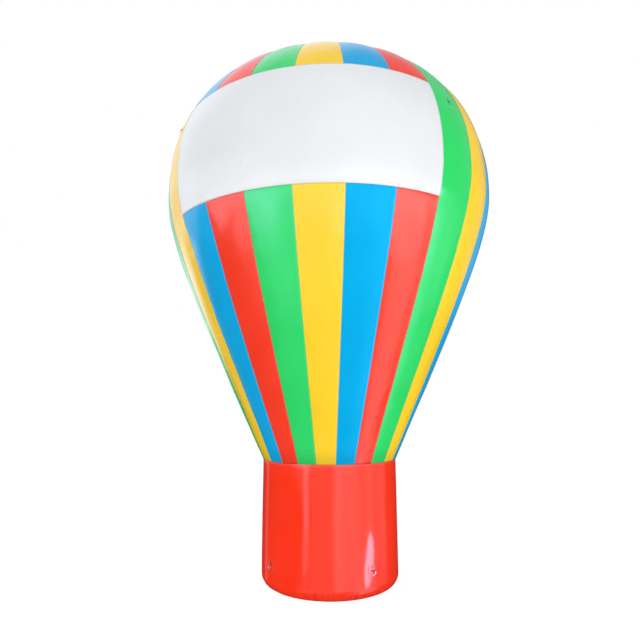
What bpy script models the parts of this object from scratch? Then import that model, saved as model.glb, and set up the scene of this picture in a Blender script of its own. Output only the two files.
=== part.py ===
"""Ground-standing hot air balloon shaped inflatable: 24 coloured gores over a round base.

Metres, +Z up. The origin is on the floor under the balloon's axis. The blank white panel
faces -Y, and an angle is counted from -Y towards +X. The envelope is a 10 mm shell made of
separate gores. Eight anchor rings swing on their patches, and the air inlet is at the back.
"""

import math

import bmesh
import bpy
from mathutils import Matrix, Vector

NAME = "hot_air_balloon_inflatable"

# Envelope outline: a superellipse dome over a flank that straightens towards the neck
HEIGHT = 5.0
MAX_RADIUS = 1.579
EQUATOR_Z = 3.585
DOME_HEIGHT = HEIGHT - EQUATOR_Z
DOME_POWER = 2.230
NECK_RADIUS = 0.625
NECK_Z = 1.098
FLANK_BEND = 0.2142
SHELL = 0.010
GAP = 0.0003

# Gores and the blank panel
GORES = 24
PANEL_GORES = 6
PANEL_LOW_Z = 3.220
PANEL_HIGH_Z = 4.213
CROWN_RADIUS = 0.150
STEPS_PER_GORE = 2
SEAM_ANGLE = 0.0007
LOWER_ROWS = 9
PANEL_LOW_ROWS = 2
PANEL_HIGH_ROWS = 4
UPPER_ROWS = 6

# Base
BASE_RADIUS = 0.626
BASE_CORNER = 0.096
CORNER_STEPS = 5
RING_STEPS = GORES * STEPS_PER_GORE
ROUND_STEPS = 32

# Air inlet at the back
INLET_Z = 0.300
SLEEVE_RADIUS = 0.150
SLEEVE_WALL = 0.006
SLEEVE_END_Y = 1.000
HEM_LENGTH = 0.045
HEM_THICKNESS = 0.005
COLLAR_RADIUS = 0.195
COLLAR_HALF_STEPS = 4
PATCH_THICKNESS = 0.003

# Deflation zip at the back
ZIP_ANGLE = 150.0
ZIP_LOW_Z = 0.300
ZIP_HIGH_Z = 0.820
ZIP_WIDTH = 0.040
ZIP_ROUNDING = 0.0133
SLIDER_Z = 0.760
SLIDER_SIZE = (0.016, 0.034, 0.008)
SLIDER_ROUNDING = 0.004

# Anchor patch, its webbing keeper and the D-ring that hangs in it
PATCH_SIDE = 0.100
PATCH_ROUNDING = 0.020
KEEPER_SIZE = (0.024, 0.016, 0.0125)
KEEPER_ROUNDING = 0.0027
BAR_HEIGHT = 0.0110
KEEPER_BORE = 0.0031
BORE_STEPS = 12
RING_WIRE = 0.0025
RING_WIDTH = 0.036
BAR_LENGTH = 0.0324
RING_STRAIGHT = 0.008
RING_ARC_POINTS = 9

# Skins that are cut to an outline, and the depth of the solids that cut them
SKIN_MARGIN = 0.020
PATCH_STATION_REACH = 0.450
INLET_CUT = 0.400
ZIP_CUT = 0.100
PATCH_CUT = 0.060
ROUNDING_STEPS = 4
MERGE_DISTANCE = 0.0001
SHARP_ANGLE = 30.0

COLOURS = {
    "yellow": ((0.98, 0.62, 0.03), 0.24),
    "blue": ((0.01, 0.42, 0.86), 0.24),
    "red": ((1.00, 0.055, 0.018), 0.24),
    "green": ((0.03, 0.68, 0.16), 0.24),
    "white": ((0.87, 0.89, 0.92), 0.30),
    "black": ((0.03, 0.03, 0.035), 0.55),
    "steel": ((0.62, 0.62, 0.60), 0.28),
}
METALS = ("steel",)
GORE_COLOURS = ("yellow", "blue", "red", "green")

# name, angle in degrees, height, colour of the surface it is welded to, where it sits
ANCHORS = (
    ("base_front_right", 45.0, 0.225, "red", "base"),
    ("base_front_left", -45.0, 0.225, "red", "base"),
    ("base_back_right", 135.0, 0.225, "red", "base"),
    ("base_back_left", -135.0, 0.225, "red", "base"),
    ("side_front_right", 52.5, 4.085, "green", "envelope"),
    ("side_front_left", -52.5, 4.085, "yellow", "envelope"),
    ("side_back_right", 127.5, 4.085, "yellow", "envelope"),
    ("side_back_left", -127.5, 4.085, "green", "envelope"),
)


# Outline of the envelope and the base


def envelope_radius(z):
    """Outer radius of the envelope at a height."""
    if z >= EQUATOR_Z:
        rise = min((z - EQUATOR_Z) / DOME_HEIGHT, 1.0)
        return MAX_RADIUS * (1.0 - rise**DOME_POWER) ** (1.0 / DOME_POWER)
    drop = (EQUATOR_Z - z) / (EQUATOR_Z - NECK_Z)
    bend = (math.hypot(drop, FLANK_BEND) - FLANK_BEND) / (math.hypot(1.0, FLANK_BEND) - FLANK_BEND)
    return MAX_RADIUS - (MAX_RADIUS - NECK_RADIUS) * bend


def dome_z(radius):
    """Height of the dome at a radius."""
    return EQUATOR_Z + DOME_HEIGHT * (1.0 - (radius / MAX_RADIUS) ** DOME_POWER) ** (1.0 / DOME_POWER)


def dome_stations(low_z, high_z, count):
    """Heights on the dome at even turns of its superellipse."""
    turns = [math.asin(((z - EQUATOR_Z) / DOME_HEIGHT) ** (DOME_POWER / 2.0)) for z in (low_z, high_z)]
    steps = [turns[0] + (turns[1] - turns[0]) * i / count for i in range(1, count)]
    heights = [EQUATOR_Z + DOME_HEIGHT * math.sin(turn) ** (2.0 / DOME_POWER) for turn in steps]
    return [low_z, *heights, high_z]


def even_stations(low_z, high_z, count):
    return [low_z + (high_z - low_z) * i / count for i in range(count + 1)]


CROWN_Z = dome_z(CROWN_RADIUS)
LOWER_STATIONS = even_stations(NECK_Z, PANEL_LOW_Z, LOWER_ROWS)
PANEL_LOW_STATIONS = even_stations(PANEL_LOW_Z, EQUATOR_Z, PANEL_LOW_ROWS)
PANEL_HIGH_STATIONS = dome_stations(EQUATOR_Z, PANEL_HIGH_Z, PANEL_HIGH_ROWS)
MIDDLE_STATIONS = PANEL_LOW_STATIONS + PANEL_HIGH_STATIONS[1:]
UPPER_STATIONS = dome_stations(PANEL_HIGH_Z, CROWN_Z, UPPER_ROWS)


def base_radius(z):
    """Outer radius of the base wall: a quarter round at the floor, then nearly upright."""
    if z < BASE_CORNER:
        return BASE_RADIUS - BASE_CORNER + math.sqrt(BASE_CORNER**2 - (BASE_CORNER - z) ** 2)
    rise = (z - BASE_CORNER) / (NECK_Z - BASE_CORNER)
    return BASE_RADIUS + (NECK_RADIUS - BASE_RADIUS) * rise


def outward(radius_at, z):
    """Outward direction of an outline at a height, as radius and height."""
    step = 0.001
    slope = (radius_at(z + step) - radius_at(z - step)) / (2.0 * step)
    return Vector((1.0, -slope)).normalized()


def skin(radius_at, heights, outside, inside):
    """Pairs of outer and inner points of a skin, each an offset from the outline."""
    pairs = []
    for z in heights:
        point = Vector((radius_at(z), z))
        normal = outward(radius_at, z)
        pairs.append((point + normal * outside, point + normal * inside))
    return pairs


# Blender helpers


def material(colour):
    found = bpy.data.materials.get(colour)
    if found:
        return found
    made = bpy.data.materials.new(colour)
    made.use_nodes = True
    shade, roughness = COLOURS[colour]
    shader = made.node_tree.nodes["Principled BSDF"]
    shader.inputs["Base Color"].default_value = (*shade, 1.0)
    shader.inputs["Roughness"].default_value = roughness
    shader.inputs["Metallic"].default_value = 1.0 if colour in METALS else 0.0
    made.diffuse_color = (*shade, 1.0)
    return made


def collection(name, hidden=False):
    made = bpy.data.collections.new(name)
    bpy.context.scene.collection.children.link(made)
    made.hide_render = hidden
    return made


def add_object(name, data, colour):
    made = bpy.data.objects.new(name, data)
    PARTS.objects.link(made)
    data.materials.append(material(colour))
    if isinstance(data, bpy.types.Mesh):
        data.shade_smooth()
        data.set_sharp_from_angle(angle=math.radians(SHARP_ANGLE))
    return made


def mesh_from(bm, name):
    bmesh.ops.recalc_face_normals(bm, faces=bm.faces[:])
    mesh = bpy.data.meshes.new(name)
    bm.to_mesh(mesh)
    bm.free()
    return mesh


def part_turn(name, pairs, start, sweep, steps):
    """A strip between outer and inner points, spun through part of a turn into a closed solid."""
    bm = bmesh.new()
    direction = Vector((math.sin(start), -math.cos(start), 0.0))
    rows = [[bm.verts.new(direction * p.x + Vector((0.0, 0.0, p.y))) for p in pair] for pair in pairs]
    for low, high in zip(rows, rows[1:]):
        bm.faces.new((low[0], high[0], high[1], low[1]))
    geometry = bm.verts[:] + bm.edges[:] + bm.faces[:]
    bmesh.ops.spin(bm, geom=geometry, cent=(0, 0, 0), axis=(0, 0, 1), angle=sweep, steps=steps)
    return mesh_from(bm, name)


def full_turn(name, points, colour, closed, steps=RING_STEPS):
    """An outline of (radius, height) points that runs down its outer side, turned once round Z."""
    mesh = bpy.data.meshes.new(name)
    edges = [(i, i + 1) for i in range(len(points) - 1)]
    if closed:
        edges.append((len(points) - 1, 0))
    mesh.from_pydata([(r, 0.0, z) for r, z in points], edges, [])
    made = add_object(name, mesh, colour)
    screw = made.modifiers.new("turn", "SCREW")
    screw.steps = steps
    screw.render_steps = steps
    screw.use_merge_vertices = True
    screw.merge_threshold = MERGE_DISTANCE
    screw.use_smooth_shade = True
    return made


def tube(name, outer, inner, length, colour):
    """An open tube along Z about its middle."""
    half = length / 2.0
    outline = [(outer, half), (outer, -half), (inner, -half), (inner, half)]
    return full_turn(name, outline, colour, True, ROUND_STEPS)


def cylinder_mesh(name, radius, length, segments):
    """A cylinder along Z about its middle."""
    bm = bmesh.new()
    bmesh.ops.create_cone(
        bm, cap_ends=True, segments=segments, radius1=radius, radius2=radius, depth=length
    )
    return mesh_from(bm, name)


def cutter(name, mesh, matrix):
    made = bpy.data.objects.new(name, mesh)
    CUTTERS.objects.link(made)
    made.matrix_world = matrix
    made.hide_render = True
    made.display_type = "WIRE"
    return made


def boolean(target, operation, tool):
    change = target.modifiers.new(operation.lower(), "BOOLEAN")
    change.operation = operation
    change.solver = "EXACT"
    change.object = tool


def surface_frame(radius_at, angle, z):
    """A frame on the surface: X round the axis, Y up the slope, Z outwards."""
    turn = math.radians(angle)
    radial = Vector((math.sin(turn), -math.cos(turn), 0.0))
    round_axis = Vector((math.cos(turn), math.sin(turn), 0.0))
    flat = outward(radius_at, z)
    out = radial * flat.x + Vector((0.0, 0.0, flat.y))
    up = out.cross(round_axis)
    spot = radial * radius_at(z) + Vector((0.0, 0.0, z))
    return Matrix.Translation(spot) @ Matrix((round_axis, up, out)).transposed().to_4x4()


# Envelope


def gore(name, colour, heights, start_gore, gore_count):
    """A piece of the envelope over whole gores, with a seam's gap left at each side and end."""
    top = heights[-1] if heights[-1] == CROWN_Z else heights[-1] - GAP / 2.0
    pairs = skin(envelope_radius, [heights[0] + GAP / 2.0, *heights[1:-1], top], 0.0, -SHELL)
    gore_angle = 2.0 * math.pi / GORES
    start = start_gore * gore_angle + SEAM_ANGLE / 2.0
    sweep = gore_count * gore_angle - SEAM_ANGLE
    mesh = part_turn(name, pairs, start, sweep, gore_count * STEPS_PER_GORE)
    return add_object(name, mesh, colour)


def envelope():
    first_panel_gore = -PANEL_GORES // 2
    for index in range(first_panel_gore, first_panel_gore + GORES):
        colour = GORE_COLOURS[index % len(GORE_COLOURS)]
        number = index - first_panel_gore + 1
        if number <= PANEL_GORES:
            gore(f"gore_{number:02d}_lower_{colour}", colour, LOWER_STATIONS, index, 1)
            gore(f"gore_{number:02d}_upper_{colour}", colour, UPPER_STATIONS, index, 1)
        else:
            stations = LOWER_STATIONS + MIDDLE_STATIONS[1:] + UPPER_STATIONS[1:]
            gore(f"gore_{number:02d}_{colour}", colour, stations, index, 1)
    gore("panel_white", "white", MIDDLE_STATIONS, first_panel_gore, PANEL_GORES)


def crown_cap():
    """The round cap that the gores end against; its rim slopes as their ends do."""
    rim_top, rim_bottom = skin(envelope_radius, [CROWN_Z], 0.0, -SHELL)[0]
    halfway = CROWN_RADIUS / 2.0
    points = [(0.0, HEIGHT), (halfway, dome_z(halfway))]
    points += [(rim_top.x - GAP, rim_top.y), (rim_bottom.x - GAP, rim_bottom.y), (0.0, HEIGHT - SHELL)]
    full_turn("crown_cap", points, "red", closed=False)


# Base


def base_outline(inset):
    """Points of the base wall from the neck down to the floor, inset from its outer face."""
    points = [(NECK_RADIUS - inset, NECK_Z - GAP / 2.0)]
    centre = Vector((BASE_RADIUS - BASE_CORNER, BASE_CORNER))
    for step in range(CORNER_STEPS + 1):
        turn = math.pi / 2.0 * step / CORNER_STEPS
        reach = BASE_CORNER - inset
        points.append((centre.x + reach * math.cos(turn), centre.y - reach * math.sin(turn)))
    return points


def base():
    outline = base_outline(0.0) + base_outline(SHELL)[::-1]
    wall = full_turn("base_wall", outline, "red", closed=True)
    hole = cylinder_mesh("inlet_hole", SLEEVE_RADIUS + GAP, INLET_CUT, ROUND_STEPS)
    along_y = Matrix.Translation((0.0, BASE_RADIUS, INLET_Z)) @ Matrix.Rotation(math.pi / 2.0, 4, "X")
    boolean(wall, "DIFFERENCE", cutter("inlet_hole", hole, along_y))
    floor_radius = BASE_RADIUS - BASE_CORNER - GAP
    disc = [(0.0, SHELL), (floor_radius, SHELL), (floor_radius, 0.0), (0.0, 0.0)]
    full_turn("base_floor", disc, "red", closed=False)


def base_skin(name, angle, half_steps, low_z, high_z):
    """A thin skin over part of the base wall, one gap outside it."""
    step = 2.0 * math.pi / RING_STEPS
    pairs = skin(base_radius, (low_z, high_z), GAP + PATCH_THICKNESS, GAP)
    start = math.radians(angle) - half_steps * step
    return part_turn(name, pairs, start, 2 * half_steps * step, 2 * half_steps)


# Air inlet


def inlet():
    wall_y = BASE_RADIUS - SHELL
    length = SLEEVE_END_Y - wall_y
    along_y = Matrix.Rotation(math.pi / 2.0, 4, "X")
    sleeve = tube("inlet_sleeve", SLEEVE_RADIUS, SLEEVE_RADIUS - SLEEVE_WALL, length, "red")
    sleeve.matrix_world = Matrix.Translation((0.0, wall_y + length / 2.0, INLET_Z)) @ along_y
    inner = SLEEVE_RADIUS + GAP
    hem = tube("sleeve_hem", inner + HEM_THICKNESS, inner, HEM_LENGTH, "black")
    hem.matrix_world = Matrix.Translation((0.0, SLEEVE_END_Y - HEM_LENGTH / 2.0, INLET_Z)) @ along_y
    low_z = INLET_Z - COLLAR_RADIUS
    high_z = INLET_Z + COLLAR_RADIUS + SKIN_MARGIN
    collar_mesh = base_skin("inlet_collar", 180.0, COLLAR_HALF_STEPS, low_z, high_z)
    collar = add_object("inlet_collar", collar_mesh, "red")
    disc = cylinder_mesh("collar_edge", COLLAR_RADIUS, INLET_CUT, ROUND_STEPS)
    hole = cylinder_mesh("collar_hole", inner, INLET_CUT, ROUND_STEPS)
    at_wall = Matrix.Translation((0.0, BASE_RADIUS, INLET_Z)) @ along_y
    boolean(collar, "INTERSECT", cutter("collar_edge", disc, at_wall))
    boolean(collar, "DIFFERENCE", cutter("collar_hole", hole, at_wall))


# Deflation zip


def rounded_prism(name, width, height, depth, rounding):
    """A block with rounded upright edges, centred on its frame, its depth along Z."""
    bm = bmesh.new()
    bmesh.ops.create_cube(bm, size=1.0, matrix=Matrix.Diagonal((width, height, depth, 1.0)))
    upright = [edge for edge in bm.edges if abs(edge.verts[0].co.z - edge.verts[1].co.z) > depth / 2.0]
    bmesh.ops.bevel(bm, geom=upright, offset=rounding, segments=ROUNDING_STEPS, affect="EDGES", profile=0.5)
    return mesh_from(bm, name)


def zip_closure():
    middle_z = (ZIP_LOW_Z + ZIP_HIGH_Z) / 2.0
    place = surface_frame(base_radius, ZIP_ANGLE, middle_z)
    strip_mesh = base_skin("zip_strip", ZIP_ANGLE, 1, ZIP_LOW_Z - SKIN_MARGIN, ZIP_HIGH_Z + SKIN_MARGIN)
    strip = add_object("zip_strip", strip_mesh, "black")
    outline = rounded_prism("zip_outline", ZIP_WIDTH, ZIP_HIGH_Z - ZIP_LOW_Z, ZIP_CUT, ZIP_ROUNDING)
    boolean(strip, "INTERSECT", cutter("zip_outline", outline, place))
    width, height, depth = SLIDER_SIZE
    slider_mesh = rounded_prism("zip_slider", width, height, depth, SLIDER_ROUNDING)
    slider = add_object("zip_slider", slider_mesh, "steel")
    lift = 2.0 * GAP + PATCH_THICKNESS + depth / 2.0
    at_top = surface_frame(base_radius, ZIP_ANGLE, SLIDER_Z)
    slider.matrix_world = at_top @ Matrix.Translation((0.0, 0.0, lift))


# Anchors


def patch(label, angle, z, colour, place):
    """A welded patch that follows the surface, with the keeper that the ring's bar turns in."""
    name = f"anchor_patch_{label}"
    if place == "base":
        mesh = base_skin(name, angle, 1, z - PATCH_SIDE, z + PATCH_SIDE)
        frame = surface_frame(base_radius, angle, z)
    else:
        stations = MIDDLE_STATIONS + UPPER_STATIONS[1:]
        near = [h for h in stations if abs(h - z) < PATCH_STATION_REACH]
        pairs = skin(envelope_radius, near, GAP + PATCH_THICKNESS, GAP)
        step = 2.0 * math.pi / RING_STEPS
        mesh = part_turn(name, pairs, math.radians(angle) - step, 2 * step, 2)
        frame = surface_frame(envelope_radius, angle, z)
    made = add_object(name, mesh, colour)
    outline = rounded_prism(f"{name}_outline", PATCH_SIDE, PATCH_SIDE, PATCH_CUT, PATCH_ROUNDING)
    boolean(made, "INTERSECT", cutter(f"{name}_outline", outline, frame))
    width, height, depth = KEEPER_SIZE
    keeper = rounded_prism(f"{name}_keeper", width, height, depth, KEEPER_ROUNDING)
    seat = frame @ Matrix.Translation((0.0, 0.0, (PATCH_THICKNESS + depth) / 2.0))
    boolean(made, "UNION", cutter(f"{name}_keeper", keeper, seat))
    bore = cylinder_mesh(f"{name}_bore", KEEPER_BORE, 2.0 * width, BORE_STEPS)
    across = frame @ Matrix.Translation((0.0, 0.0, BAR_HEIGHT)) @ Matrix.Rotation(math.pi / 2.0, 4, "Y")
    boolean(made, "DIFFERENCE", cutter(f"{name}_bore", bore, across))
    return frame


def ring(label, frame):
    """A D-ring: its bar lies on the joint axis and its bow hangs down the slope."""
    curve = bpy.data.curves.new(f"anchor_ring_{label}", "CURVE")
    curve.dimensions = "3D"
    curve.bevel_depth = RING_WIRE
    curve.bevel_resolution = 2
    curve.resolution_u = 1
    curve.render_resolution_u = 0
    half = RING_WIDTH / 2.0
    points = [(-BAR_LENGTH / 2.0, 0.0), (BAR_LENGTH / 2.0, 0.0)]
    for step in range(RING_ARC_POINTS):
        turn = math.pi * step / (RING_ARC_POINTS - 1)
        points.append((half * math.cos(turn), -RING_STRAIGHT - half * math.sin(turn)))
    spline = curve.splines.new("POLY")
    spline.points.add(len(points) - 1)
    for item, (x, y) in zip(spline.points, points):
        item.co = (x, y, 0.0, 1.0)
    spline.use_cyclic_u = True
    made = bpy.data.objects.new(curve.name, curve)
    PARTS.objects.link(made)
    curve.materials.append(material("steel"))
    made.matrix_world = frame @ Matrix.Translation((0.0, 0.0, BAR_HEIGHT))
    return made


def anchors():
    for label, angle, z, colour, place in ANCHORS:
        frame = patch(label, angle, z, colour, place)
        ring(label, frame)


for old in list(bpy.data.objects):
    bpy.data.objects.remove(old)
PARTS = collection(NAME)
CUTTERS = collection("cutters", hidden=True)
envelope()
crown_cap()
base()
inlet()
zip_closure()
anchors()
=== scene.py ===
"""Looks of the hot air balloon shaped inflatable: film, seams, anchors, air inlet, zip, light and camera.

Metres, in the frame of the CAD: +Z up, and the blank panel faces -Y. An angle is counted from -Y
towards +X. A place on the skin is an angle and an arc length, s, along the outline: s starts where
the base leaves the floor and ends at the crown.
"""

import math
from itertools import product

import bpy
import numpy as np
from mathutils import Matrix, Quaternion, Vector


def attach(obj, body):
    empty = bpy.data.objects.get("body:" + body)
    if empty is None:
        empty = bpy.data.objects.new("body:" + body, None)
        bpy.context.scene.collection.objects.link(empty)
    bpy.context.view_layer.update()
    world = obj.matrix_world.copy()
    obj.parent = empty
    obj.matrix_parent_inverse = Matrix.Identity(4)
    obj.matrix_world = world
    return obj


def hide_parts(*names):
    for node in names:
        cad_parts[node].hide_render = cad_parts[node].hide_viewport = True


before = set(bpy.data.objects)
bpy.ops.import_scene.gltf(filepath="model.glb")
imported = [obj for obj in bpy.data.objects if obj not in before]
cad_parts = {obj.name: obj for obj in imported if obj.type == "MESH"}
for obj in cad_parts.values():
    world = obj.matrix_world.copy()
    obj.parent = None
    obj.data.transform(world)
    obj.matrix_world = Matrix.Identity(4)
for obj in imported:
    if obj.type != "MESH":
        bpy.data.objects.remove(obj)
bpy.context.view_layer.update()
ROOT = "balloon"

# Camera, solved from the seams and the outline of the photographed balloon
CAMERA_DISTANCE = 5.252
CAMERA_HEIGHT = 1.583
CAMERA_TURN = 10.04
CAMERA_PITCH = 9.18
CAMERA_YAW = -0.931
CAMERA_ROLL = 0.160
CAMERA_LENS = 30.1
SENSOR = 36.0

# Outline, as in the CAD
HEIGHT = 5.0
MAX_RADIUS = 1.579
EQUATOR_Z = 3.585
DOME_HEIGHT = HEIGHT - EQUATOR_Z
DOME_POWER = 2.230
NECK_RADIUS = 0.625
NECK_Z = 1.098
NECK_ROUNDING = 0.02
FLANK_BEND = 0.2142
BASE_RADIUS = 0.626
BASE_CORNER = 0.096
FLOOR_RADIUS = BASE_RADIUS - BASE_CORNER

# Gores, blank panel and crown, as in the CAD
GORES = 24
GORE_ANGLE = math.tau / GORES
PANEL_GORES = 6
FIRST_PANEL_GORE = -PANEL_GORES // 2
PANEL_LOW_Z = 3.220
PANEL_HIGH_Z = 4.213
CROWN_RADIUS = 0.150

# Air inlet and zip, as in the CAD
INLET_Z = 0.300
SLEEVE_RADIUS = 0.150
SLEEVE_END_Y = 1.000
HEM_LENGTH = 0.045
COLLAR_RADIUS = 0.195
ZIP_ANGLE = 150.0
ZIP_LOW_Z = 0.300
ZIP_HIGH_Z = 0.820
ZIP_WIDTH = 0.040
SLIDER_Z = 0.760
TOOTH_PITCH = 0.0032
TOOTH_SIZE = (0.0052, 0.002, 0.002)

# Anchors, as in the CAD
PATCH_SIDE = 0.100
PATCH_ROUNDING = 0.020
BAR_HEIGHT = 0.011
RING_WIRE = 0.0025
RING_WIDTH = 0.036
RING_STRAIGHT = 0.008
RING_CORNER = 0.0045
KEEPER_WIDTH = 0.024
KEEPER_THICK = 0.0014
KEEPER_TOP = 0.042
KEEPER_LEVELS = (0.003, 0.0045)
KEEPER_SEAM = 0.018
KEEPER_SEAM_Y = 0.030
ANCHORS = (
    # label, angle in degrees, height, colour of the film it is welded to
    ("base_front_right", 45.0, 0.225, "base_red"),
    ("base_front_left", -45.0, 0.225, "base_red"),
    ("base_back_right", 135.0, 0.225, "base_red"),
    ("base_back_left", -135.0, 0.225, "base_red"),
    ("side_front_right", 52.5, 4.085, "green"),
    ("side_front_left", -52.5, 4.085, "yellow"),
    ("side_back_right", 127.5, 4.085, "yellow"),
    ("side_back_left", -127.5, 4.085, "green"),
)

# Relief of the film
FILM = 0.0012
HEM = 0.018
HEM_LIFT = 0.0012
UNDER_SINK = 0.0006
BILLOW = 0.010
SEAM_SINK = 0.0065
GORE_WIDTH = 0.41
SWELL = 0.0032
PUCKER = 0.0017
PUCKER_REACH = 0.055
PUCKER_PITCH = 0.055
NECK_PUCKER = 0.001
NECK_SINK = 0.0003
NECK_REACH = 0.050
UNDER_PANEL_SWELL = 1.3
TUCK = 0.0016
PANEL_GROOVE = 0.0022
CORNER_BULGE = 0.0045
CORNER_PLACE = 0.060
CORNER_REACH = 0.055
BASE_SWELL = 0.003
BASE_FOLD = 0.0015
FLOOR_FOLD = 0.004
FAR_FROM_HEM = 0.1
CAP_LIFT = 0.0032
PATCH_LIFT = 0.0016
PRESS_DEPTH = 0.0005
PRESS_PLACE = 0.0055
PRESS_REACH = 0.0012
PLEAT = 0.003
CREASE = 0.0034
GATHER = 0.004
GATHER_HEIGHT = 0.118
GATHER_TURN = 75.0

GORE_COLOURS = ("yellow", "blue", "red", "green")
WHITE = (1.0, 1.0, 1.0)
FILM_LOOKS = {
    # colour of the film, how much darker its edges are, colour of its gloss
    "yellow": ((0.94, 0.61, 0.016), 0.30, WHITE),
    "blue": ((0.002, 0.387, 0.75), 0.30, (0.05, 0.50, 1.0)),
    "red": ((0.93, 0.040, 0.013), 0.30, WHITE),
    "green": ((0.024, 0.68, 0.130), 0.30, (0.90, 1.0, 1.80)),
    "white": ((0.757, 0.783, 0.802), 0.10, WHITE),
    "base_red": ((1.0, 0.034, 0.007), 0.55, WHITE),
}
SQUARE = ((-1, -1), (1, -1), (1, 1), (-1, 1))
STITCH_ROWS = (0.0045, 0.0125)
STITCH_PITCH = 0.006
STITCH_SHARE = 0.68
SHARP_ANGLE = 40.0


def new_object(name, data):
    """An object with this mesh, light or camera, in the scene."""
    made = bpy.data.objects.new(name, data)
    bpy.context.scene.collection.objects.link(made)
    return made


# Camera


def make_camera():
    """The photograph's camera: turned round the balloon, then aimed by yaw, pitch and roll."""
    data = bpy.data.cameras.new("camera")
    data.lens = CAMERA_LENS
    data.sensor_width = SENSOR
    data.clip_end = 200.0
    camera = new_object("camera", data)
    turn = Matrix.Rotation(math.radians(CAMERA_TURN), 4, "Z")
    place = Matrix.Translation((0.0, -CAMERA_DISTANCE, CAMERA_HEIGHT))
    yaw = Matrix.Rotation(math.radians(-CAMERA_YAW), 4, "Z")
    pitch = Matrix.Rotation(math.radians(90.0 + CAMERA_PITCH), 4, "X")
    roll = Matrix.Rotation(math.radians(-CAMERA_ROLL), 4, "Z")
    camera.matrix_world = turn @ place @ yaw @ pitch @ roll
    bpy.context.scene.camera = camera


make_camera()


# Outline


def flank_radius(z):
    drop = (EQUATOR_Z - z) / (EQUATOR_Z - NECK_Z)
    bend = (np.hypot(drop, FLANK_BEND) - FLANK_BEND) / (math.hypot(1.0, FLANK_BEND) - FLANK_BEND)
    return MAX_RADIUS - (MAX_RADIUS - NECK_RADIUS) * bend


def make_outline():
    """Closely spaced points of the outline from the floor to the top, with their outward directions."""
    turn = np.linspace(-math.pi / 2.0, 0.0, 80)
    corner = FLOOR_RADIUS + BASE_CORNER * np.cos(turn), BASE_CORNER + BASE_CORNER * np.sin(turn)
    wall_z = np.linspace(BASE_CORNER, NECK_Z, 400)[1:]
    taper = (NECK_RADIUS - BASE_RADIUS) * (wall_z - BASE_CORNER) / (NECK_Z - BASE_CORNER)
    wall = BASE_RADIUS + taper, wall_z
    flank_z = np.linspace(NECK_Z, EQUATOR_Z, 900)[1:]
    flank = flank_radius(flank_z), flank_z
    turn = np.linspace(0.0, math.pi / 2.0, 1500)[1:]
    power = 2.0 / DOME_POWER
    dome = MAX_RADIUS * np.cos(turn) ** power, EQUATOR_Z + DOME_HEIGHT * np.sin(turn) ** power
    r, z = (np.concatenate(parts) for parts in zip(corner, wall, flank, dome))
    s = np.concatenate([[0.0], np.cumsum(np.hypot(np.diff(r), np.diff(z)))])
    dr, dz = np.gradient(r, s), np.gradient(z, s)
    size = np.hypot(dr, dz)
    smooth = np.abs(z - NECK_Z) > NECK_ROUNDING
    out = {"ns": s[smooth], "nr": (dz / size)[smooth], "nz": (-dr / size)[smooth]}
    return {"s": s, "r": r, "z": z, **out}


OUTLINE = make_outline()


def arc_at(z):
    return float(np.interp(z, OUTLINE["z"], OUTLINE["s"]))


def radius_at(s):
    return np.interp(s, OUTLINE["s"], OUTLINE["r"])


def outwards(s):
    """The outline's outward direction, as its level and its upright part."""
    return [np.interp(s, OUTLINE["ns"], OUTLINE[part]) for part in ("nr", "nz")]


NECK = arc_at(NECK_Z)
PANEL_LOW = arc_at(PANEL_LOW_Z)
PANEL_HIGH = arc_at(PANEL_HIGH_Z)
CROWN_RISE = (1.0 - (CROWN_RADIUS / MAX_RADIUS) ** DOME_POWER) ** (1.0 / DOME_POWER)
CROWN = arc_at(EQUATOR_Z + DOME_HEIGHT * CROWN_RISE)


# Relief of the film


def lattice(ix, iy, seed):
    """A steady pseudo-random value from 0 to 1 for each pair of whole numbers."""
    mixed = np.sin(ix * 127.1 + iy * 311.7 + seed * 74.7) * 43758.5453
    return mixed - np.floor(mixed)


def noise(x, y, seed, period=None):
    """Smooth noise from -1 to 1, that repeats along x where a period is given."""
    x, y = np.broadcast_arrays(np.asarray(x, float), np.asarray(y, float))
    ix, iy = np.floor(x), np.floor(y)
    fx, fy = x - ix, y - iy
    fx, fy = fx * fx * (3.0 - 2.0 * fx), fy * fy * (3.0 - 2.0 * fy)
    jx = ix + 1
    if period:
        ix, jx = ix % period, jx % period
    low = lattice(ix, iy, seed) * (1 - fx) + lattice(jx, iy, seed) * fx
    high = lattice(ix, iy + 1, seed) * (1 - fx) + lattice(jx, iy + 1, seed) * fx
    return 2.0 * (low * (1 - fy) + high * fy) - 1.0


def ramp(value, low, high):
    """0 below low, 1 above high, smooth between."""
    t = np.clip((value - low) / (high - low), 0.0, 1.0)
    return t * t * (3.0 - 2.0 * t)


def round_noise(angle, y, count, seed):
    """Noise with so many cells round the balloon, without a break at the back."""
    return noise((angle / math.tau % 1.0) * count, y, seed, count)


def reach_to(angle, s, at_degrees, low_z, high_z):
    """Distance on the skin to an upright line at an angle, from a low to a high point."""
    turn = (angle - math.radians(at_degrees) + math.pi) % math.tau - math.pi
    away = np.maximum(np.maximum(arc_at(low_z) - s, s - arc_at(high_z)), 0.0)
    return np.hypot(turn * radius_at(s), away)


def flatness(angle, s):
    """0 where something is welded on and holds the film flat, 1 away from it."""
    free = ramp(reach_to(angle, s, 180.0, INLET_Z, INLET_Z), COLLAR_RADIUS, COLLAR_RADIUS + 0.10)
    free = free * ramp(reach_to(angle, s, ZIP_ANGLE, ZIP_LOW_Z, ZIP_HIGH_Z), ZIP_WIDTH, ZIP_WIDTH + 0.08)
    for _, degrees, z, _ in ANCHORS:
        free = free * ramp(reach_to(angle, s, degrees, z, z), 0.06, 0.16)
    return free


def in_gores(angle):
    """An angle counted in gores, from -12 to 12."""
    return (angle / GORE_ANGLE + GORES / 2.0) % GORES - GORES / 2.0


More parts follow.
